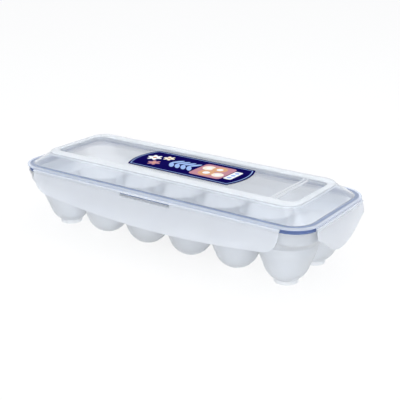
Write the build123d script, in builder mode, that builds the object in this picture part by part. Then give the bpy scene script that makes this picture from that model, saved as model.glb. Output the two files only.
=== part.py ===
"""Egg keeper for twelve eggs: cup tray, domed flip lid, gasket, four snap flaps and a label.

Frame: X along the two rows of cups, -Y is the front, Z up. The origin is on the table under the
middle of the tray, so the four foot rings stand on Z = 0. All sizes are in millimetres.
"""

import os
from math import cos, radians, sin, sqrt, tan

from build123d import *

# ---------------------------------------------------------------- driving dimensions

# egg cups
CUP_PITCH = 48.0  # centre to centre, along a row and between the two rows
CUPS_LONG = 6
CUPS_DEEP = 2
CUP_BALL = 19.8  # outside radius of a cup's round bottom
CUP_TURN = 69.0  # degrees of round bottom; the side goes on at this slope
CUP_SIDE_R = 11.0  # rounding that turns the side upright below the deck
CUP_LAP = 1.0  # how far a cup's outside runs past the middle of the gap to the next cup
CUP_WEB = 1.6  # left between the mouths of two cups
CUP_WALL = 1.4
MOUTH_BEVEL = 0.5
FOOT_H = 0.6  # how far the foot rings stand below the round bottoms
FOOT_R = 10.2
FOOT_WALL = 1.4

# tray above the cups
DECK_UNDER = 36.5  # underside of the deck that joins the cups
DECK_T = 1.6
DECK_LEDGE = 0.7  # from the deck's outline in to the foot of the shoulder's inside
SHOULDER_RISE = 8.5  # height of the sloped shoulder below the upright wall
SHOULDER_ROUND = 4.0
TRAY_RIM_TOP = 55.2
TRAY_WALL = 1.8
LIP_T = 1.3  # the tray's lip, which the flaps hook under
LIP_ROUND = 0.4
LIP_CLEAR = 0.7  # between the lip's edge and the flaps
BAND_STEP = 0.9  # how far the band below the lip stands out from the wall
SKIRT_DROP = 4.9  # from the top of the rim to the bottom of the band below the lip

# rim of the lid, from which every other outline is set in
RIM_MARGIN = 34.4  # from the outer cup centres to the rim's edge
RIM_R = 24.5
RIM_TOP = 60.5
RIM_T = 1.4
RIM_ROUND = 0.5

# lid
DOME_RISE = 10.1
DOME_RUN_END = 13.9  # how far the dome leans in at the two ends
DOME_RUN_SIDE = 11.4  # and at the front and back
FRAME_R = 14.0
FRAME_H = 1.2  # step from the dome up to the frame
FRAME_BAND_END = 5.5
FRAME_BAND_SIDE = 10.0
PANEL_DEPTH = 2.8  # from the top of the frame down to the panel
PANEL_DRAFT = 0.8
FRAME_EDGE = 1.0  # rounding of the frame's outer edge
FRAME_INNER_EDGE = 0.6
DOME_FOOT_ROUND = 1.2
LID_WALL = 1.5
DOME_WALL = 1.8  # the dome's sloping side, measured level
DOME_STEP = 0.1  # the dome's foot stands this far inside the plug rib's outside
PLUG_DEPTH = 4.9  # rib that centres the lid inside the tray
PLUG_T = 1.2
RIB_X = 105.5  # the low rib across the panel
RIB_W = 4.0
RIB_H = 0.8

# gasket
GASKET_OUT = 2.0  # set in from the rim's edge
GASKET_W = 3.8
GASKET_RIB = 1.2  # height of each of its two ribs
GASKET_WAIST = 0.6
GASKET_FIT = 0.1  # to the plug rib

# snap flaps
HINGE_DROP = 2.5  # hinge axis below the top of the rim
HINGE_OUT = 0.5  # hinge axis outside the rim's edge
BEAD_R = 0.8
HINGE_GAP = 0.05  # running clearance round the bead
RAIL_T = 1.1  # the rim turns down this thick behind each flap's bead
RAIL_BELOW = 1.1  # and this far below the hinge axis
FLAP_T = 1.4
NECK_T = 0.7  # the thin neck below the bead
NECK_DROP = 2.1
FLAP_DROP = 28.1  # from the hinge axis to the lowest point of a flap
SIDE_FLAP_HALF = 131.5  # half the length of the front and rear flaps
SIDE_FLAP_LEAN = 2.0  # how much narrower they are at the bottom, each end
SIDE_FLAP_BOW = 8.7  # how much their lower edge bows down in the middle
SIDE_FLAP_CORNER = 16.0
SIDE_FLAP_FLARE = 1.8  # outward kick of the finger edge
FLARE_FROM = 10.0  # height over which it kicks out
END_FLAP_HALF = 40.0  # half the width of the two end flaps
END_FLAP_BULGE = 1.7
END_FLAP_CHEEK = 9.2  # height of their upright ends
END_FLAP_CHEEK_IN = 6.0  # from a cheek in to where the sloping edge starts straight
END_FLAP_TIP_R = 34.0
END_FLAP_SLOPE = 34.0  # degrees, of the edges that run down to the tip
END_FLAP_TUCK = 0.2  # how far the tip curls back in from the neck's line
SLOT_HALF = 27.0
SLOT_R = 1.0
SLOT_DROP = 1.0  # top of the slot below the hinge axis
HOOK_CATCH = 0.6  # how far a hook reaches under the tray's lip
HOOK_ROOM = 0.6  # from the hook's tip to the band below the lip
HOOK_T = 1.2
HOOK_NOSE = 0.4  # thickness left at the hook's tip
HOOK_GAP = 0.1  # under the tray's lip
END_HOOK_HALF = 20.0
BLANK_OVER = 1.0  # how far a blank runs past the outline that trims it
NEAR = 0.01  # for picking edges by height or radius

# label
LABEL_LEN = 107.0  # along its straight edges
LABEL_W = 47.0
LABEL_BULGE = 6.0  # of its round ends
LABEL_T = 0.3
LABEL_RIGHT = 2.7  # it sits this far to the right of the panel's middle
LABEL_GAP = 1.6  # from its back edge to the foot of the panel's wall

# ---------------------------------------------------------------- derived sizes

OUTER_CUP_X = (CUPS_LONG - 1) * CUP_PITCH / 2
OUTER_CUP_Y = (CUPS_DEEP - 1) * CUP_PITCH / 2
HALF_L = OUTER_CUP_X + RIM_MARGIN
HALF_W = OUTER_CUP_Y + RIM_MARGIN

CUP_TOP_R = CUP_PITCH / 2 + CUP_LAP
CUP_MOUTH_R = (CUP_PITCH - CUP_WEB) / 2
FOOT_TOP = FOOT_H + CUP_BALL - sqrt(CUP_BALL**2 - FOOT_R**2) + CUP_WALL / 4
DECK_TOP = DECK_UNDER + DECK_T
SHOULDER_TOP = DECK_UNDER + SHOULDER_RISE
DECK_L = OUTER_CUP_X + CUP_TOP_R  # half size of the deck's outline
DECK_W = OUTER_CUP_Y + CUP_TOP_R

HINGE_Z = RIM_TOP - HINGE_DROP
HINGE_Y = HALF_W + HINGE_OUT
HINGE_X = HALF_L + HINGE_OUT

FLAP_IN = FLAP_T / 2 - HINGE_OUT  # outlines set in from the rim's edge
LIP_IN = FLAP_IN + LIP_CLEAR
BAND_IN = LIP_IN + HOOK_CATCH + HOOK_ROOM
WALL_IN = BAND_IN + BAND_STEP
WALL_IN_INNER = WALL_IN + TRAY_WALL
PLUG_IN = GASKET_OUT + GASKET_W + GASKET_FIT
DOME_IN = PLUG_IN + DOME_STEP

DOME_L = HALF_L - DOME_IN - DOME_RUN_END  # half size of the frame's outline
DOME_W = HALF_W - DOME_IN - DOME_RUN_SIDE
DOME_TOP = RIM_TOP + DOME_RISE
FRAME_TOP = DOME_TOP + FRAME_H
PANEL_TOP = FRAME_TOP - PANEL_DEPTH
PANEL_L = DOME_L - FRAME_BAND_END  # half size of the panel's opening
PANEL_W = DOME_W - FRAME_BAND_SIDE
PANEL_R = FRAME_R - FRAME_BAND_END
LABEL_Y = PANEL_W - PANEL_DRAFT - LABEL_GAP - LABEL_W / 2

GASKET_H = RIM_TOP - RIM_T - TRAY_RIM_TOP
HOOK_REACH = LIP_CLEAR + HOOK_CATCH
HOOK_TOP = TRAY_RIM_TOP - LIP_T - HOOK_GAP - HINGE_Z  # in a flap's own frame

# each hinge has its own frame: X along the axis, Y outward, Z up
FRONT = Location((0, -HINGE_Y, HINGE_Z), (0, 0, 180))
REAR = Location((0, HINGE_Y, HINGE_Z))
RIGHT = Location((HINGE_X, 0, HINGE_Z), (0, 0, -90))
LEFT = Location((-HINGE_X, 0, HINGE_Z), (0, 0, 90))
RAILS = [
    (FRONT, SIDE_FLAP_HALF),
    (REAR, SIDE_FLAP_HALF),
    (RIGHT, END_FLAP_HALF),
    (LEFT, END_FLAP_HALF),
]


def rim_outline(inset, mode=Mode.ADD):
    """The rim's rounded rectangle, set in all round."""
    RectangleRounded(2 * (HALF_L - inset), 2 * (HALF_W - inset), RIM_R - inset, mode=mode)


def level_edges(z):
    """The edges that lie at one height."""
    return edges().filter_by_position(Axis.Z, z - NEAR, z + NEAR)


def inside(half_l, half_w):
    """A test for edges whose middle lies within a rectangle about Z."""
    return lambda e: abs(e.center().X) < half_l + NEAR and abs(e.center().Y) < half_w + NEAR


def deck_outline(inset):
    """The deck's outline: it goes round the corner cups."""
    RectangleRounded(2 * (DECK_L - inset), 2 * (DECK_W - inset), CUP_TOP_R - inset)


def frame_outline(inset):
    """The raised frame's outline on top of the dome."""
    RectangleRounded(2 * (DOME_L - inset), 2 * (DOME_W - inset), FRAME_R - inset)


def panel_outline(inset):
    """The outline of the sunken panel's opening."""
    RectangleRounded(2 * (PANEL_L - inset), 2 * (PANEL_W - inset), PANEL_R - inset)


def cup_body(ball, mouth):
    """A cup turned round Z: round bottom, sloping side, and a rounding that turns it upright."""
    with BuildPart() as cup:
        with BuildSketch(Plane.XZ):
            with BuildLine():
                bottom = CenterArc((0, FOOT_H + CUP_BALL), ball, -90, CUP_TURN)
                run = mouth - CUP_SIDE_R * (1 - sin(radians(CUP_TURN))) - (bottom @ 1).X
                slope = PolarLine(bottom @ 1, run, CUP_TURN, length_mode=LengthMode.HORIZONTAL)
                upper = JernArc(slope @ 1, slope % 1, CUP_SIDE_R, 90 - CUP_TURN)
                Polyline(upper @ 1, (mouth, DECK_TOP), (0, DECK_TOP), bottom @ 0)
            make_face()
        revolve(axis=Axis.Z)
    return cup.part


# ---------------------------------------------------------------- tray

cup_outside = cup_body(CUP_BALL, CUP_TOP_R)
cup_inside = cup_body(CUP_BALL - CUP_WALL, CUP_MOUTH_R)

with BuildPart() as tray:
    # shoulder and upright wall
    with BuildSketch(Plane.XY.offset(DECK_UNDER)):
        deck_outline(0)
    with BuildSketch(Plane.XY.offset(SHOULDER_TOP)):
        rim_outline(WALL_IN)
    loft()
    with BuildSketch(Plane.XY.offset(SHOULDER_TOP)):
        rim_outline(WALL_IN)
    extrude(amount=TRAY_RIM_TOP - SHOULDER_TOP)
    fillet(level_edges(SHOULDER_TOP), SHOULDER_ROUND)
    # band and lip
    with BuildSketch(Plane.XY.offset(TRAY_RIM_TOP - SKIRT_DROP)):
        rim_outline(BAND_IN)
    extrude(amount=SKIRT_DROP)
    with BuildSketch(Plane.XY.offset(TRAY_RIM_TOP - LIP_T)):
        rim_outline(LIP_IN)
    extrude(amount=LIP_T)
    fillet(level_edges(TRAY_RIM_TOP), LIP_ROUND)
    # the twelve cups hang from the deck
    with GridLocations(CUP_PITCH, CUP_PITCH, CUPS_LONG, CUPS_DEEP):
        add(cup_outside)
    # hollow: upright part, shoulder, cups
    with BuildSketch(Plane.XY.offset(SHOULDER_TOP)):
        rim_outline(WALL_IN_INNER)
    extrude(amount=TRAY_RIM_TOP - SHOULDER_TOP, mode=Mode.SUBTRACT)
    with BuildSketch(Plane.XY.offset(DECK_TOP)):
        deck_outline(DECK_LEDGE)
    with BuildSketch(Plane.XY.offset(SHOULDER_TOP)):
        rim_outline(WALL_IN_INNER)
    loft(mode=Mode.SUBTRACT)
    with GridLocations(CUP_PITCH, CUP_PITCH, CUPS_LONG, CUPS_DEEP):
        add(cup_inside, mode=Mode.SUBTRACT)
    rings = level_edges(DECK_TOP).filter_by(GeomType.CIRCLE)
    chamfer(rings.filter_by(lambda e: abs(e.radius - CUP_MOUTH_R) < NEAR), MOUTH_BEVEL)
    # foot rings under the four corner cups
    with BuildSketch():
        with GridLocations(2 * OUTER_CUP_X, 2 * OUTER_CUP_Y, 2, 2):
            Circle(FOOT_R)
            Circle(FOOT_R - FOOT_WALL, mode=Mode.SUBTRACT)
    extrude(amount=FOOT_TOP)

tray.part.label = "tray"

# ---------------------------------------------------------------- lid

with BuildPart() as lid:
    # rim plate, dome and raised frame
    with BuildSketch(Plane.XY.offset(RIM_TOP - RIM_T)):
        rim_outline(0)
    extrude(amount=RIM_T)
    fillet(edges().group_by(Axis.Z)[-1], RIM_ROUND)
    with BuildSketch(Plane.XY.offset(RIM_TOP)):
        rim_outline(DOME_IN)
    with BuildSketch(Plane.XY.offset(DOME_TOP)):
        frame_outline(0)
    loft()
    fillet(level_edges(RIM_TOP).filter_by(inside(HALF_L - DOME_IN, HALF_W - DOME_IN)), DOME_FOOT_ROUND)
    with BuildSketch(Plane.XY.offset(DOME_TOP)):
        frame_outline(0)
    extrude(amount=FRAME_H)
    fillet(edges().group_by(Axis.Z)[-1], FRAME_EDGE)
    # the rib that centres the lid inside the tray
    with BuildSketch(Plane.XY.offset(RIM_TOP - RIM_T)):
        rim_outline(PLUG_IN)
    extrude(amount=-PLUG_DEPTH)
    # hollow it from below
    with BuildSketch(Plane.XY.offset(RIM_TOP - RIM_T - PLUG_DEPTH)):
        rim_outline(PLUG_IN + PLUG_T)
    extrude(amount=PLUG_DEPTH + RIM_T / 2, mode=Mode.SUBTRACT)
    with BuildSketch(Plane.XY.offset(RIM_TOP - RIM_T / 2)):
        rim_outline(PLUG_IN + PLUG_T)
    with BuildSketch(Plane.XY.offset(DOME_TOP - RIM_T / 2)):
        frame_outline(DOME_WALL)
    loft(mode=Mode.SUBTRACT)
    with BuildSketch(Plane.XY.offset(FRAME_TOP - LID_WALL)):
        frame_outline(DOME_WALL)
    extrude(amount=-(FRAME_H - LID_WALL + RIM_T), mode=Mode.SUBTRACT)
    # sunken panel with its low rib
    with BuildSketch(Plane.XY.offset(PANEL_TOP - LID_WALL)):
        panel_outline(-LID_WALL)
    extrude(amount=PANEL_DEPTH + LID_WALL / 2)
    with BuildSketch(Plane.XY.offset(PANEL_TOP)):
        panel_outline(PANEL_DRAFT)
    with BuildSketch(Plane.XY.offset(FRAME_TOP)):
        panel_outline(0)
    loft(mode=Mode.SUBTRACT)
    fillet(level_edges(FRAME_TOP).filter_by(inside(PANEL_L, PANEL_W)), FRAME_INNER_EDGE)
    with Locations((RIB_X, 0, PANEL_TOP)):
        Box(RIB_W, 2 * PANEL_W, RIB_H, align=(Align.CENTER, Align.CENTER, Align.MIN))
    # hinge rails: the rim turns down along each flap and is hollowed round the flap's bead
    for place, half in RAILS:
        with Locations(place):
            with Locations((0, -HINGE_OUT, -RAIL_BELOW)):
                Box(2 * half, RAIL_T, RAIL_BELOW + HINGE_DROP - RIM_T / 2, align=(Align.CENTER, Align.MAX, Align.MIN))
            with Locations((0, -HINGE_OUT, HINGE_DROP - RIM_T / 2)):
                Box(2 * half, GASKET_OUT, RIM_T / 2, align=(Align.CENTER, Align.MAX, Align.MAX))
            Cylinder(BEAD_R + HINGE_GAP, 2 * (half + BLANK_OVER), rotation=(0, 90, 0), mode=Mode.SUBTRACT)

lid.part.label = "lid"

# ---------------------------------------------------------------- gasket

with BuildPart() as gasket:
    with BuildSketch(Plane.XY.offset(TRAY_RIM_TOP)):
        rim_outline(GASKET_OUT + GASKET_WAIST)
        rim_outline(GASKET_OUT + GASKET_W - GASKET_WAIST, Mode.SUBTRACT)
    extrude(amount=GASKET_H)
    for bottom in (TRAY_RIM_TOP, TRAY_RIM_TOP + GASKET_H - GASKET_RIB):
        with BuildSketch(Plane.XY.offset(bottom)):
            rim_outline(GASKET_OUT)
            rim_outline(GASKET_OUT + GASKET_W, Mode.SUBTRACT)
        extrude(amount=GASKET_RIB)

gasket.part.label = "gasket"

# ---------------------------------------------------------------- snap flaps


def neck_points(side):
    """Half of a flap's neck, from the bead down to the full thickness; side is 1 outside, -1 inside."""
    return [
        (side * NECK_T / 2, 0),
        (side * NECK_T / 2, -NECK_DROP),
        (side * FLAP_T / 2, -NECK_DROP - (FLAP_T - NECK_T) / 2),
    ]


def hook_profile(tail):
    """Section of a hook, square on top to catch the tray's lip and sloping back below to the flap."""
    return [
        (0, HOOK_TOP),
        (-FLAP_T / 2 - HOOK_REACH, HOOK_TOP),
        (-FLAP_T / 2 - HOOK_REACH, HOOK_TOP - HOOK_NOSE),
        (-FLAP_T / 2, HOOK_TOP - tail),
        (0, HOOK_TOP - tail),
    ]


def side_flap():
    """Front or rear flap. X runs along the hinge axis, +Y is outward, Z is up."""
    low = -FLAP_DROP
    with BuildPart() as flap:
        with BuildSketch(Plane.YZ.offset(-SIDE_FLAP_HALF)):
            with BuildLine():
                back = Polyline(*neck_points(-1), (-FLAP_T / 2, low + FLARE_FROM))
                inner = TangentArc(
                    back @ 1, (SIDE_FLAP_FLARE - FLAP_T / 2, low - BLANK_OVER), tangent=(0, -1)
                )
                face = Polyline(*neck_points(1), (FLAP_T / 2, low + FLARE_FROM))
                kick = TangentArc(
                    face @ 1, (SIDE_FLAP_FLARE + FLAP_T / 2, low - BLANK_OVER), tangent=(0, -1)
                )
                Line(inner @ 1, kick @ 1)
                Line(back @ 0, face @ 0)
            make_face()
        extrude(amount=2 * SIDE_FLAP_HALF)
        Cylinder(BEAD_R, 2 * SIDE_FLAP_HALF, rotation=(0, 90, 0))
        # trim to the outline: leaning ends, a bowed lower edge and large round corners
        with BuildSketch(Plane.XZ):
            with BuildLine():
                top = Line((-SIDE_FLAP_HALF, BEAD_R), (SIDE_FLAP_HALF, BEAD_R))
                right = Line(top @ 1, (SIDE_FLAP_HALF - SIDE_FLAP_LEAN, low + SIDE_FLAP_BOW))
                left = Line((SIDE_FLAP_LEAN - SIDE_FLAP_HALF, low + SIDE_FLAP_BOW), top @ 0)
                ThreePointArc(right @ 1, (0, low), left @ 0)
            make_face()
            fillet(vertices().group_by(Axis.Y)[0], SIDE_FLAP_CORNER)
        extrude(amount=FLARE_FROM, both=True, mode=Mode.INTERSECT)
        # hook, and the slot above it
        with BuildSketch(Plane.YZ.offset(-SLOT_HALF)):
            Polygon(*hook_profile(HOOK_T + FLAP_T / 3), align=None)
        extrude(amount=2 * SLOT_HALF)
        with BuildSketch(Plane.XZ):
            with Locations((0, (HOOK_TOP - SLOT_DROP) / 2)):
                RectangleRounded(2 * SLOT_HALF, -SLOT_DROP - HOOK_TOP, SLOT_R)
        extrude(amount=FLARE_FROM, both=True, mode=Mode.SUBTRACT)
    return flap.part


def end_flap():
    """Left or right flap, in the same frame: a bulged tongue with upright cheeks."""
    low = -FLAP_DROP
    corner = low - END_FLAP_TIP_R * (1 / cos(radians(END_FLAP_SLOPE)) - 1)
    cheek = END_FLAP_HALF - END_FLAP_CHEEK_IN
    knee = corner + cheek * tan(radians(END_FLAP_SLOPE))
    with BuildPart() as flap:
        with BuildSketch(Plane.YZ.offset(-END_FLAP_HALF)):
            with BuildLine():
                back = Polyline(*neck_points(-1))
                inner = ThreePointArc(
                    back @ 1,
                    (END_FLAP_BULGE - FLAP_T / 2, low / 2),
                    (-END_FLAP_TUCK, low - BLANK_OVER),
                )
                face = Polyline(*neck_points(1))
                outer = ThreePointArc(
                    face @ 1,
                    (END_FLAP_BULGE + FLAP_T / 2, low / 2),
                    (FLAP_T - END_FLAP_TUCK, low - BLANK_OVER),
                )
                Line(inner @ 1, outer @ 1)
                Line(back @ 0, face @ 0)
            make_face()
        extrude(amount=2 * END_FLAP_HALF)
        Cylinder(BEAD_R, 2 * END_FLAP_HALF, rotation=(0, 90, 0))
        # trim to the outline: cheeks, sloping edges and a round tip
        with BuildSketch(Plane.XZ):
            Polygon(
                (-END_FLAP_HALF, BEAD_R),
                (-END_FLAP_HALF, -END_FLAP_CHEEK),
                (-cheek, knee),
                (0, corner),
                (cheek, knee),
                (END_FLAP_HALF, -END_FLAP_CHEEK),
                (END_FLAP_HALF, BEAD_R),
                align=None,
            )
            fillet(vertices().group_by(Axis.Y)[0], END_FLAP_TIP_R)
        extrude(amount=FLARE_FROM, both=True, mode=Mode.INTERSECT)
        with BuildSketch(Plane.YZ.offset(-END_HOOK_HALF)):
            Polygon(*hook_profile(HOOK_T + FLAP_T / 2), align=None)
        extrude(amount=2 * END_HOOK_HALF)
    return flap.part


def placed(part, place, name):
    """A copy of a flap at its hinge, under its own name."""
    copy = part.moved(place)
    copy.label = name
    return copy


side = side_flap()
end = end_flap()
latches = [
    placed(side, FRONT, "latch_front"),
    placed(side, REAR, "latch_rear"),
    placed(end, RIGHT, "latch_right"),
    placed(end, LEFT, "latch_left"),
]

# ---------------------------------------------------------------- label

with BuildPart() as label:
    with BuildSketch(Plane((LABEL_RIGHT, LABEL_Y, PANEL_TOP))):
        with BuildLine():
            back = Line((-LABEL_LEN / 2, LABEL_W / 2), (LABEL_LEN / 2, LABEL_W / 2))
            front = Line((LABEL_LEN / 2, -LABEL_W / 2), (-LABEL_LEN / 2, -LABEL_W / 2))
            ThreePointArc(back @ 1, (LABEL_LEN / 2 + LABEL_BULGE, 0), front @ 0)
            ThreePointArc(front @ 1, (-LABEL_LEN / 2 - LABEL_BULGE, 0), back @ 0)
        make_face()
    extrude(amount=LABEL_T)

label.part.label = "label"

# ---------------------------------------------------------------- one file for each piece

os.makedirs("parts", exist_ok=True)
for piece in [tray.part, lid.part, gasket.part, *latches, label.part]:
    export_step(piece, f"parts/{piece.label}.step")
    print(piece.label, piece.is_valid, round(piece.volume), len(piece.solids()))
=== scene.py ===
# %% [markdown]
# # An egg keeper with a flip lid, dressed for the camera
# The keeper is eight pieces: a tray of twelve cups, a domed lid, a soft seal ring, four snap flaps
# and a printed film on the lid. Their shapes come ready from the solid model, so this lesson is
# about everything else: milky polypropylene, silicone, printed film, and the light that such pale
# things need. One call loads the model as a fixed frame, and the size of each piece is printed.

import math

import bpy
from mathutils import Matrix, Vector


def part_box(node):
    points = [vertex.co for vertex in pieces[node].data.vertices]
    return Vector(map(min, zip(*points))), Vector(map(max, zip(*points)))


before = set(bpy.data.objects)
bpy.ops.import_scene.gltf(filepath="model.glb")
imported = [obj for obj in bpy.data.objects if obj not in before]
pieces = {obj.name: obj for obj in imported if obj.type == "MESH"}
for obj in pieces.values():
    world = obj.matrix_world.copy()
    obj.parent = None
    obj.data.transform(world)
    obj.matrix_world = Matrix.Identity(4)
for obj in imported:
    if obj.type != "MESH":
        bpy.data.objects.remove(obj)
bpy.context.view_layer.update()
for name in sorted(pieces):
    low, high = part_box(name)
    size = [round((b - a) * 1000, 1) for a, b in zip(low, high)]
    print(f"{name}: {size} mm")

# %% [markdown]
# ## Are the round surfaces smooth?
# A moulding has no facets, but a mesh has. Round cups and rounded edges should shade as one
# surface, while the square edges of hooks and slots stay crisp. Blender can do that with a smooth
# flag on each face and an angle that picks the sharp edges, or a model can bring its own normals.
# This one brings them, so nothing is changed here: the cell only counts what is smooth.

# %% Count the smooth faces
for name in sorted(pieces):
    mesh = pieces[name].data
    smooth = sum(face.use_smooth for face in mesh.polygons)
    own = mesh.has_custom_normals
    print(f"{name}: {smooth} of {len(mesh.polygons)} faces smooth, own normals: {own}")

# %% [markdown]
# ## A finish and its nodes
# Each finish is one Principled shader with a few nodes in front of it. It could be set up by hand
# in the shader editor, but here the same few steps come up for every finish, so a small class
# keeps the material together with its nodes and makes the usual ones in a line each. Everything
# is placed by the piece's own coordinates, so a pattern stays on the plastic as the lid swings.

# %% A class for a finish
class Finish:
    """A material under construction: its nodes, its Principled shader and the place on its piece."""

    def __init__(self, name):
        self.material = bpy.data.materials.new(name)
        self.material.use_nodes = True
        tree = self.material.node_tree
        self.nodes, self.links = tree.nodes, tree.links
        self.shader = self.nodes["Principled BSDF"]
        self.place = self.nodes.new("ShaderNodeTexCoord").outputs["Object"]

    def join(self, source, target):
        """Plugs an output into an input, or sets the input to a plain value."""
        if isinstance(source, bpy.types.NodeSocket):
            self.links.new(source, target)
        else:
            target.default_value = source

    def math(self, operation, first, second=0.0):
        """One Math node on outputs or numbers."""
        node = self.nodes.new("ShaderNodeMath")
        node.operation = operation
        self.join(first, node.inputs[0])
        self.join(second, node.inputs[1])
        return node.outputs[0]

    def vector(self, operation, first, second=(0, 0, 0), result="Vector"):
        """One Vector Math node on outputs or triples."""
        node = self.nodes.new("ShaderNodeVectorMath")
        node.operation = operation
        self.join(first, node.inputs[0])
        self.join(second, node.inputs[1])
        return node.outputs[result]

    def spread(self, signal, come_from, go_to):
        """Stretches a signal from one range over another, and holds it there."""
        node = self.nodes.new("ShaderNodeMapRange")
        self.join(signal, node.inputs["Value"])
        for socket, value in zip(("From Min", "From Max", "To Min", "To Max"), (*come_from, *go_to)):
            node.inputs[socket].default_value = value
        return node.outputs["Result"]

    def between(self, share, first, second):
        """A number between two others; each may be a number or an output."""
        node = self.nodes.new("ShaderNodeMix")
        self.join(share, node.inputs["Factor"])
        self.join(first, node.inputs["A"])
        self.join(second, node.inputs["B"])
        return node.outputs["Result"]

    def tint(self, share, first, second):
        """A colour between two others; each may be a triple or an output."""
        node = self.nodes.new("ShaderNodeMix")
        node.data_type = "RGBA"
        self.join(share, node.inputs["Factor"])
        for socket, colour in (("A", first), ("B", second)):
            self.join((*colour, 1) if isinstance(colour, tuple) else colour, node.inputs[socket])
        return node.outputs["Result"]


print("a finish has the methods", [m for m in vars(Finish) if not m.startswith("_")])

# %% [markdown]
# ## Nothing is perfectly even
# Two kinds of unevenness tell the eye that a gloss is moulded plastic and not glass. Slow clouds,
# a few centimetres wide, shift its tint and its polish by a few percent. A fine relief, copied
# from the mould, breaks up the reflections. Both could be painted as images, but noise in the
# piece's own coordinates needs no unwrapping and never shows a seam.

# %% Clouds and fine relief
NOISE_RANGE = (0.3, 0.7)  # where nearly all of the noise lies


def clouds(finish, waves, detail=3.0):
    """Soft noise over the piece; waves is its scale, per metre."""
    noise = finish.nodes.new("ShaderNodeTexNoise")
    noise.inputs["Scale"].default_value = waves
    noise.inputs["Detail"].default_value = detail
    finish.join(finish.place, noise.inputs["Vector"])
    return noise.outputs["Fac"]


def relief(finish, signal, height):
    """Bumps of that height, in metres, on the finish's shader."""
    bump = finish.nodes.new("ShaderNodeBump")
    bump.inputs["Distance"].default_value = height
    finish.join(signal, bump.inputs["Height"])
    finish.join(bump.outputs["Normal"], finish.shader.inputs["Normal"])


print("noise is taken from", NOISE_RANGE)

# %% [markdown]
# ## Light through plastic
# Real polypropylene lets most light pass and scatters the rest, so its shadow is faint and the
# inside of the keeper is bright. A path tracer finds no lamp through a bent ray and would leave
# the cups dark. More light would bleach the outside. The usual cure is to let shadow rays alone
# pass, tinted, through a Transparent shader, while every other ray still sees the plastic.

# %% Let shadow rays through
def let_light_through(finish, share, tint):
    """That share of each shadow ray passes the finish and takes its tint."""
    rays = finish.nodes.new("ShaderNodeLightPath")
    clear = finish.nodes.new("ShaderNodeBsdfTransparent")
    clear.inputs["Color"].default_value = (*tint, 1)
    mix = finish.nodes.new("ShaderNodeMixShader")
    finish.join(finish.math("MULTIPLY", rays.outputs["Is Shadow Ray"], share), mix.inputs["Fac"])
    finish.join(finish.shader.outputs[0], mix.inputs[1])
    finish.join(clear.outputs[0], mix.inputs[2])
    finish.join(mix.outputs[0], finish.nodes["Material Output"].inputs["Surface"])


SURFACE_PASSES = 0.95  # of a shadow ray, at each of a wall's two surfaces
SHADOW_TINT = (0.975, 0.985, 0.995)
print(f"a wall passes {SURFACE_PASSES ** 2:.2f} of a shadow ray")

# %% [markdown]
# ## Polypropylene, three ways
# Tray, lid and flaps are the same natural polypropylene: clear, with a faint blue-white milk in
# it. The tray and the flaps come from frosted moulds, and the flaps are milkier too, because they
# are thick where they bend and catch. A volume would be the true way to make the milk, but it is
# slow and noisy in walls this thin. So a share of the surface does it: that share scatters light
# like paper, and the rest is clear. Roughness is the frost. It stays on one side of 0.27 over a
# whole piece, because a denoiser treats smoother and rougher glass differently: the polished lid
# lies below that line, tray and flaps above it, and nothing comes out speckled. The refraction,
# 1.47, is a shade below the true 1.49, and a thin sheen stands for the milk that gathers where a
# wall is seen edge on.

# %% A function for milky polypropylene
REFRACTION = 1.47
SHEEN, SHEEN_ROUGHNESS, SHEEN_TINT = 0.25, 0.4, (0.92, 0.96, 1.0)
CLOUD_WAVES = 38.0  # per metre
GRAIN_WAVES, GRAIN_DETAIL = 900.0, 2.0
FROST_VARIES = 0.1  # the share by which frost wanders up and down


def polypropylene(name, clear_share, frost, pale, deep, relief_height):
    """Clear-but-milky plastic; its tint wanders from pale to deep."""
    finish = Finish(name)
    drift = clouds(finish, CLOUD_WAVES)
    share = finish.spread(drift, NOISE_RANGE, (0.0, 1.0))
    inputs = finish.shader.inputs
    inputs["Transmission Weight"].default_value = clear_share
    inputs["IOR"].default_value = REFRACTION
    inputs["Sheen Weight"].default_value = SHEEN
    inputs["Sheen Roughness"].default_value = SHEEN_ROUGHNESS
    inputs["Sheen Tint"].default_value = (*SHEEN_TINT, 1)
    finish.join(finish.tint(share, pale, deep), inputs["Base Color"])
    frost_range = (frost * (1 - FROST_VARIES), frost * (1 + FROST_VARIES))
    finish.join(finish.spread(drift, NOISE_RANGE, frost_range), inputs["Roughness"])
    relief(finish, clouds(finish, GRAIN_WAVES, GRAIN_DETAIL), relief_height)
    let_light_through(finish, SURFACE_PASSES, SHADOW_TINT)
    print(f"{name}: {clear_share:.0%} clear, roughness {frost_range[0]:.2f} to {frost_range[1]:.2f}")
    return finish


# %% The tray, the flaps and the lid
tray_plastic = polypropylene(
    "tray_plastic", clear_share=0.75, frost=0.31,
    pale=(0.935, 0.955, 0.98), deep=(0.91, 0.935, 0.97), relief_height=6e-6,
)
flap_plastic = polypropylene(
    "flap_plastic", clear_share=0.58, frost=0.31,
    pale=(0.94, 0.965, 1.0), deep=(0.915, 0.94, 0.985), relief_height=6e-6,
)
lid_plastic = polypropylene(
    "lid_plastic", clear_share=0.47, frost=0.16,
    pale=(0.835, 0.895, 1.0), deep=(0.805, 0.87, 0.99), relief_height=4e-6,
)
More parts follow.
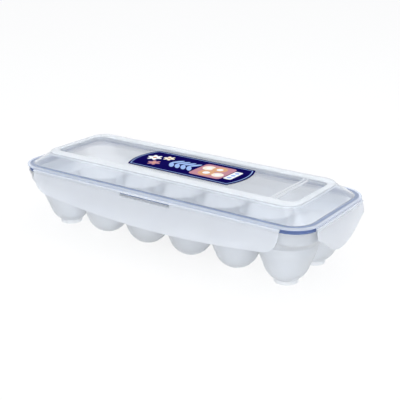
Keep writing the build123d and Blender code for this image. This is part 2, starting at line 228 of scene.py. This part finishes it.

# %% [markdown]
# ## One lid, six zones
# The lid is one moulding, but its mould is not polished alike everywhere. The lip of the rim and
# the raised frame are frosted. Two thin, milky white lines along the edges of the low rib are
# painted highlights, standing in for the light that its rounded edges catch. The sloping dome and
# the sunken panel are clear enough to count what lies in the cups. A band round the dome's foot is
# clear too, so the seal ring shows through it as a blue line. The lid could be cut into slots, but
# then it would no longer be the solid model's mesh. Instead each zone is a distance in the lid's
# own coordinates: less than nothing inside a rounded rectangle, more outside. A narrow step at
# nothing turns the distance into a mask, and the zones are laid over one another from the rim in.
# Last, the same slow clouds that drift through the other pieces darken the lid here and there.

# %% Distance to a rounded rectangle
def in_millimetres(finish, middle):
    """The place on a piece, seen from above, in millimetres from a point given in metres."""
    from_middle = finish.vector("SUBTRACT", finish.place, middle)
    return finish.vector("MULTIPLY", from_middle, (1000, 1000, 0))


def half_sides(low, high):
    """Half the length and half the width of a box given in metres, in millimetres."""
    return [(b - a) * 500 for a, b in zip(low, high)][:2]


def rounded_box(finish, place, middle, half_l, half_w, corner):
    """How far a place is outside a box with round corners."""
    shifted = finish.vector("ABSOLUTE", finish.vector("SUBTRACT", place, (*middle, 0)))
    past = finish.vector("SUBTRACT", shifted, (half_l - corner, half_w - corner, 0))
    outside = finish.vector("LENGTH", finish.vector("MAXIMUM", past, (0, 0, 0)), result="Value")
    return finish.math("SUBTRACT", outside, corner)


# %% Where the lid's zones lie
# how far each zone's edge lies in from the one before, along and across, and its corner's radius
INSETS = (  # all in millimetres
    ("band", 2.6, 2.6, 22.0),
    ("dome", 3.4, 3.4, 18.5),
    ("frame", 13.9, 11.4, 14.0),
    ("panel", 5.9, 10.4, 8.1),
)
# the rib's two edge lines are painted highlights: thin milky white strips on the clear panel
RIB_HIGHLIGHTS = {"rib highlight, left edge": 103.6, "rib highlight, right edge": 107.4}  # from the lid's middle
RIB_HIGHLIGHT_HALF, RIB_HIGHLIGHT_CORNER = 0.7, 0.3  # half its width, and its corner's radius
half_l, half_w = half_sides(*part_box("lid"))
zones = {}
for zone, in_l, in_w, corner in INSETS:
    half_l, half_w = half_l - in_l, half_w - in_w
    zones[zone] = (0, half_l, half_w, corner)
for zone, x in RIB_HIGHLIGHTS.items():
    zones[zone] = (x, RIB_HIGHLIGHT_HALF, half_w, RIB_HIGHLIGHT_CORNER)
for zone, (x, long, wide, corner) in zones.items():
    print(f"{zone}: {2 * long:.0f} by {2 * wide:.0f} mm at {x} mm, round {corner} mm")

# %% How clear, frosted and tinted each zone is
# painted highlight: the rib's edge lines are milkier and whiter than the panel round them
RIB_HIGHLIGHT_LOOK = (0.30, 0.22, (0.97, 0.98, 1.0))
ZONE_LOOKS = {  # clear share, roughness, tint
    "band": (0.74, 0.14, (0.54, 0.69, 1.0)),
    "dome": (0.84, 0.09, (0.91, 0.945, 1.0)),
    "frame": (0.50, 0.20, (0.94, 0.97, 1.0)),
    "panel": (0.90, 0.04, (0.91, 0.93, 0.965)),
    "rib highlight, left edge": RIB_HIGHLIGHT_LOOK,
    "rib highlight, right edge": RIB_HIGHLIGHT_LOOK,
}
ZONE_EDGE = 0.4  # half the width of the step between two zones
DEEPEST = (0.60, 0.70, 0.86)
CLOUD_SHARE = 0.08  # how far a cloud takes the lid towards that tint
inputs = lid_plastic.shader.inputs
drift = clouds(lid_plastic, CLOUD_WAVES)
on_lid = in_millimetres(lid_plastic, (0, 0, 0))
clear = inputs["Transmission Weight"].default_value
frost = inputs["Roughness"].links[0].from_socket
tint = inputs["Base Color"].links[0].from_socket
for zone, (x, long, wide, corner) in zones.items():
    zone_clear, zone_frost, zone_tint = ZONE_LOOKS[zone]
    past_zone = rounded_box(lid_plastic, on_lid, (x, 0), long, wide, corner)
    mask = lid_plastic.spread(past_zone, (-ZONE_EDGE, ZONE_EDGE), (1.0, 0.0))
    clear = lid_plastic.between(mask, clear, zone_clear)
    frost = lid_plastic.between(mask, frost, zone_frost)
    tint = lid_plastic.tint(mask, tint, zone_tint)
cloud_share = lid_plastic.spread(drift, NOISE_RANGE, (0.0, CLOUD_SHARE))
tint = lid_plastic.tint(cloud_share, tint, DEEPEST)
for source, socket in ((clear, "Transmission Weight"), (frost, "Roughness"), (tint, "Base Color")):
    lid_plastic.join(source, inputs[socket])
print("zones laid:", list(zones))

# %% [markdown]
# ## The seal ring
# The ring between tray and lid is soft silicone, coloured blue in the mass, with a fine satin
# skin. Plain paint would look dead where the ring is thin, so a little light is let into its
# lips by subsurface scattering. Blue travels furthest in it, which the three radii say.

# %% Blue silicone
SEAL_PALE, SEAL_DEEP = (0.145, 0.215, 0.43), (0.115, 0.175, 0.37)
SATIN = (0.42, 0.55)
LIGHT_LET_IN = 0.15
LIGHT_TRAVELS = (0.0006, 0.0009, 0.0016)  # red, green and blue, in metres
SEAL_CLOUDS, SEAL_GRAIN, SEAL_RELIEF = 120.0, 1400.0, 3e-5
seal = Finish("seal_silicone")
inputs = seal.shader.inputs
drift = clouds(seal, SEAL_CLOUDS)
share = seal.spread(drift, NOISE_RANGE, (0.0, 1.0))
seal.join(seal.tint(share, SEAL_PALE, SEAL_DEEP), inputs["Base Color"])
seal.join(seal.spread(drift, NOISE_RANGE, SATIN), inputs["Roughness"])
inputs["Subsurface Weight"].default_value = LIGHT_LET_IN
inputs["Subsurface Radius"].default_value = LIGHT_TRAVELS
inputs["Subsurface Scale"].default_value = 1.0
relief(seal, clouds(seal, SEAL_GRAIN, GRAIN_DETAIL), SEAL_RELIEF)
print("seal ring:", seal.material.name)

# %% [markdown]
# ## The printed film
# A film lies in the sunken panel, printed in navy with a pale keyline and a few coloured motifs:
# blossoms, leaves, discs and dots, with no words. A picture could be wrapped on it, but shapes
# that simple are sharper when they are worked out. Each is a distance: less than nothing inside
# the shape, more outside. A narrow step at nothing turns it into a mask, and inks are laid over
# one another through such masks, as on a press. The unit here is the millimetre, counted from
# the film's middle.

# %% The film's middle and size
film_low, film_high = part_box("label")
FILM_MIDDLE = tuple((a + b) / 2 for a, b in zip(film_low, film_high))
FILM_HALF_L, FILM_HALF_W = half_sides(film_low, film_high)
FILM_BULGE = 6.0  # how far its round ends stand out
END_R = (FILM_HALF_W**2 + FILM_BULGE**2) / (2 * FILM_BULGE)
print(f"film {2 * FILM_HALF_L:.0f} by {2 * FILM_HALF_W:.0f} mm, ends of radius {END_R:.1f} mm")

# %% Inks and how they are laid
INK_EDGE = 0.12  # half the width of an ink's soft edge
NAVY_CLOUDS = 60.0  # the press lays the navy a little thicker here and there
NAVY, DEEP_NAVY = (0.006, 0.004, 0.086), (0.004, 0.002, 0.072)
SKY = (0.33, 0.47, 0.78)
ROSE = (0.50, 0.24, 0.29)
TAN = (0.66, 0.36, 0.20)
CREAM = (0.86, 0.78, 0.66)
WHITE = (0.86, 0.87, 0.89)

film = Finish("label_film")
on_film = in_millimetres(film, FILM_MIDDLE)
navy_share = film.spread(clouds(film, NAVY_CLOUDS), NOISE_RANGE, (0.0, 1.0))
layers = [film.tint(navy_share, DEEP_NAVY, NAVY)]


def lay_ink(distance, ink):
    """Lays an ink wherever the distance is below nothing."""
    mask = film.spread(distance, (-INK_EDGE, INK_EDGE), (1.0, 0.0))
    layers.append(film.tint(mask, layers[-1], ink))


print("inks: navy, sky, rose, tan, cream, white")

# %% Distance to an oval
def oval(middle, half_l, half_w, turn=0.0):
    """About how far a place is outside an oval that is turned by some degrees."""
    spin = film.nodes.new("ShaderNodeVectorRotate")
    spin.rotation_type = "Z_AXIS"
    spin.inputs["Angle"].default_value = math.radians(-turn)
    film.join(film.vector("SUBTRACT", on_film, (*middle, 0)), spin.inputs["Vector"])
    shrunk = film.vector("MULTIPLY", spin.outputs[0], (1 / half_l, 1 / half_w, 0))
    away = film.math("SUBTRACT", film.vector("LENGTH", shrunk, result="Value"), 1.0)
    return film.math("MULTIPLY", away, min(half_l, half_w))


print("shapes: oval, rounded box")

# %% [markdown]
# ## A border line and a few motifs
# The border line on a label runs at an even distance from its edge, so it is the film's own
# outline pushed inwards. The motifs are large and few, since they are seen small. They could be
# drawn one by one, but here each kind is a loop over ovals and boxes, which keeps them even.

# %% A keyline that follows the film's edge
KEYLINE_IN = 2.2
KEYLINE_W = 0.8
folded = film.vector("ABSOLUTE", on_film)
from_end_middle = film.vector("SUBTRACT", folded, (FILM_HALF_L - END_R, 0, 0))
past_end = film.math("SUBTRACT", film.vector("LENGTH", from_end_middle, result="Value"), END_R)
across = film.nodes.new("ShaderNodeSeparateXYZ")
film.join(folded, across.inputs[0])
past_side = film.math("SUBTRACT", across.outputs["Y"], FILM_HALF_W)
past_edge = film.math("MAXIMUM", past_end, past_side)
from_line = film.math("ABSOLUTE", film.math("ADD", past_edge, KEYLINE_IN))
lay_ink(film.math("SUBTRACT", from_line, KEYLINE_W / 2), SKY)
print(f"keyline {KEYLINE_W} mm wide, {KEYLINE_IN} mm in")

# %% Blossoms, three of them
PETAL_SLIM, HEART_SHARE = 0.34, 0.26  # of a blossom's size
BLOSSOMS = (((-44, 4), 7.5, WHITE), ((-35, -9), 6.5, ROSE), ((-31, 9), 6.0, CREAM))


def blossom(middle, size, petal, heart):
    """Three crossed ovals make six petals round a disc."""
    for turn in (0, 60, 120):
        lay_ink(oval(middle, size, size * PETAL_SLIM, turn), petal)
    lay_ink(oval(middle, size * HEART_SHARE, size * HEART_SHARE), heart)


for middle, size, petal in BLOSSOMS:
    blossom(middle, size, petal, TAN)
print(len(BLOSSOMS), "blossoms")

# %% Four pairs of leaves along the middle
LEAF_START, LEAF_STEP, LEAF_ASIDE, LEAF_TURN = -18, 6.5, 5, 55
LEAF_HALF_L, LEAF_HALF_W = 6.5, 2.3
for step in range(4):
    x = LEAF_START + LEAF_STEP * step
    for side in (1, -1):
        lay_ink(oval((x, side * LEAF_ASIDE), LEAF_HALF_L, LEAF_HALF_W, side * LEAF_TURN), SKY)
print("leaves from", LEAF_START, "to", x, "mm")

# %% Discs on a rose square, and dots on a white strip
SQUARE = ((24, 0), 16.5, 16, 4)  # middle, half its length, half its width, corner
DISCS = ((16, 6, 6, CREAM), (27, 7, 7, TAN), (21, -6, 7.5, TAN), (33, -6, 5.5, CREAM))
DISC_HEART = 0.45  # of a disc's size
STRIP_X = 45.5
STRIP = ((STRIP_X, 0), 4, 11, 2)
DOT_SIZE, DOT_STEP = 2.2, 6.5
lay_ink(rounded_box(film, on_film, *SQUARE), ROSE)
for x, y, size, ink in DISCS:
    lay_ink(oval((x, y), size, size), ink)
    lay_ink(oval((x, y), size * DISC_HEART, size * DISC_HEART), WHITE)
lay_ink(rounded_box(film, on_film, *STRIP), WHITE)
for row in (-1, 0, 1):
    lay_ink(oval((STRIP_X, row * DOT_STEP), DOT_SIZE, DOT_SIZE), SKY)
print(len(layers) - 1, "layers of ink")

# %% [markdown]
# ## Gloss, but no glare
# The film is smooth, and its roughness says so. Under a white sky a smooth film would carry a
# pale veil over the navy. It could be shaded by a dark card, as photographers do, but the clear
# lid beside it would mirror the card. So the reflection is turned off on this one finish.

# %% Surface of the film
FILM_SMOOTH = (0.22, 0.32)
SMOOTH_CLOUDS = 90.0
FILM_GRAIN, FILM_GRAIN_DETAIL, FILM_RELIEF = 160.0, 1.0, 1.5e-5
film.join(layers[-1], film.shader.inputs["Base Color"])
smooth = film.spread(clouds(film, SMOOTH_CLOUDS), NOISE_RANGE, FILM_SMOOTH)
film.join(smooth, film.shader.inputs["Roughness"])
film.shader.inputs["Specular IOR Level"].default_value = 0.0
relief(film, clouds(film, FILM_GRAIN, FILM_GRAIN_DETAIL), FILM_RELIEF)
print("film:", film.material.name)

# %% [markdown]
# ## Each piece gets its finish
# The pieces are already in place and keep their meshes. A finish is given by filling the piece's
# one material slot, so the solid model stays as it was.

# %% Give every piece its finish
finishes = {"tray": tray_plastic, "lid": lid_plastic, "gasket": seal, "label": film}
finishes.update({f"latch_{side}": flap_plastic for side in ("front", "rear", "right", "left")})
for name, finish in finishes.items():
    slots = pieces[name].data.materials
    slots.clear()
    slots.append(finish.material)
    print(name, "wears", finish.material.name)

# %% [markdown]
# ## A white sweep
# Pale plastic is best seen on white. A brighter lamp would bleach the keeper along with the
# floor, so the white is given only to the rays that look: camera rays, and the glossy and clear
# rays that carry the surroundings into the plastic. All other rays meet a pale floor that is lit
# like everything else, and part of that lit floor stays in view, so that the shadow does too.

# %% Which rays see white
def looking_rays(nodes, links):
    """1 for camera, glossy and transmission rays, 0 for the rest."""
    rays = nodes.new("ShaderNodeLightPath")
    seen = rays.outputs["Is Camera Ray"]
    for name in ("Is Glossy Ray", "Is Transmission Ray"):
        either = nodes.new("ShaderNodeMath")
        either.operation = "MAXIMUM"
        links.new(seen, either.inputs[0])
        links.new(rays.outputs[name], either.inputs[1])
        seen = either.outputs[0]
    return seen


# %% The floor
FLOOR_HALF = 5.0
FLOOR_PALE, FLOOR_ROUGHNESS = 0.9, 0.9
FLOOR_WHITE = 0.80  # share of plain white in what a looking ray sees
WHITE_GLOW = 1.025  # a touch over white makes up for the floor far from the lamps
corners = [(x * FLOOR_HALF, y * FLOOR_HALF, 0) for x, y in ((-1, -1), (1, -1), (1, 1), (-1, 1))]
floor_mesh = bpy.data.meshes.new("floor")
floor_mesh.from_pydata(corners, [], [(0, 1, 2, 3)])
floor = bpy.data.objects.new("floor", floor_mesh)
bpy.context.scene.collection.objects.link(floor)
paint = Finish("floor_paint")
paint.shader.inputs["Base Color"].default_value = (FLOOR_PALE, FLOOR_PALE, FLOOR_PALE, 1)
paint.shader.inputs["Roughness"].default_value = FLOOR_ROUGHNESS
white = paint.nodes.new("ShaderNodeEmission")
white.inputs["Strength"].default_value = WHITE_GLOW
mix = paint.nodes.new("ShaderNodeMixShader")
white_share = paint.math("MULTIPLY", looking_rays(paint.nodes, paint.links), FLOOR_WHITE)
paint.join(white_share, mix.inputs["Fac"])
paint.join(paint.shader.outputs[0], mix.inputs[1])
paint.join(white.outputs[0], mix.inputs[2])
paint.join(mix.outputs[0], paint.nodes["Material Output"].inputs["Surface"])
floor_mesh.materials.append(paint.material)
print(f"floor {2 * FLOOR_HALF:.0f} m square")

# %% The air around it
AIR_TINT, AIR_STRENGTH = (0.93, 0.955, 1.0), 0.8
world = bpy.data.worlds.new("studio")
bpy.context.scene.world = world
world.use_nodes = True
nodes, links = world.node_tree.nodes, world.node_tree.links
air = nodes["Background"]
air.inputs["Color"].default_value = (*AIR_TINT, 1)
air.inputs["Strength"].default_value = AIR_STRENGTH
bright = nodes.new("ShaderNodeBackground")
bright.inputs["Color"].default_value = (1, 1, 1, 1)
mix = nodes.new("ShaderNodeMixShader")
links.new(looking_rays(nodes, links), mix.inputs["Fac"])
links.new(air.outputs[0], mix.inputs[1])
links.new(bright.outputs[0], mix.inputs[2])
links.new(mix.outputs[0], nodes["World Output"].inputs["Surface"])
print("air at strength", AIR_STRENGTH)

# %% [markdown]
# ## Two soft boxes
# A product like this is lit by a large box overhead and another behind and above the camera.
# Large boxes give soft shadows and wide, gentle highlights along the rounded edges. Points or a
# sun would draw hard sparks in the plastic. The boxes are hidden from the rays that pass through
# the plastic, because a ray that hits a lamp by chance after three walls is nothing but noise.
# The box behind the camera is hidden from reflections as well: from the far side of the keeper
# the polished panel would otherwise mirror it and turn plain white.

# %% Lamps
LIT_POINT = Vector((0, 0, 0.04))


def soft_box(name, place, size, power, mirrored):
    """A rectangular area lamp that faces the keeper and may show in reflections."""
    light = bpy.data.lights.new(name, "AREA")
    light.shape = "RECTANGLE"
    light.size, light.size_y = size
    light.energy = power
    lamp = bpy.data.objects.new(name, light)
    lamp.location = place
    lamp.rotation_euler = (LIT_POINT - Vector(place)).to_track_quat("-Z", "Y").to_euler()
    lamp.visible_camera = lamp.visible_transmission = False
    lamp.visible_glossy = mirrored
    bpy.context.scene.collection.objects.link(lamp)
    print(f"{name}: {power} W over {size[0] * size[1]:.2f} square metres")


soft_box("overhead_box", (0.1, 0.15, 1.2), (1.2, 0.9), 4.5, mirrored=True)
soft_box("camera_box", (0.75, -1.15, 0.7), (1.7, 1.2), 8.2, mirrored=False)

# %% [markdown]
# ## The camera
# The keeper is seen from its front right corner and a little above, with a long lens from three
# quarters of a metre. The camera is aimed by turning its own -Z axis along the line to a point
# just right of the keeper's middle. That is surer than guessing three angles.

# %% Camera
AIM = Vector((0.0164, 0.0, 0.0418))
TURN, RISE, AWAY = math.radians(-54.85), math.radians(19.8), 0.755
LENS, SENSOR = 75.78, 36  # millimetres
level = math.cos(RISE)
to_camera = Vector((level * math.cos(TURN), level * math.sin(TURN), math.sin(RISE)))
lens = bpy.data.cameras.new("camera")
lens.lens, lens.sensor_width = LENS, SENSOR
camera = bpy.data.objects.new("camera", lens)
camera.location = AIM + AWAY * to_camera
camera.rotation_euler = (-to_camera).to_track_quat("-Z", "Y").to_euler()
bpy.context.scene.collection.objects.link(camera)
bpy.context.scene.camera = camera
bpy.context.scene.view_settings.view_transform = "Standard"
print("camera at", [round(v, 3) for v in camera.location])

# %% [markdown]
# ## Room for the light to travel
# A line of sight through lid, tray and cups crosses up to a dozen surfaces, and the milk sends
# light back and forth between them. The usual number of bounces would cut those paths short and
# leave grey where there should be a glow. A few more bounces cost little in so small a scene.

# %% Bounces
BOUNCES = 32
paths = bpy.context.scene.cycles
paths.max_bounces = paths.transmission_bounces = paths.transparent_max_bounces = BOUNCES
print("bounces:", paths.max_bounces, paths.transmission_bounces, paths.transparent_max_bounces)

# %% [markdown]
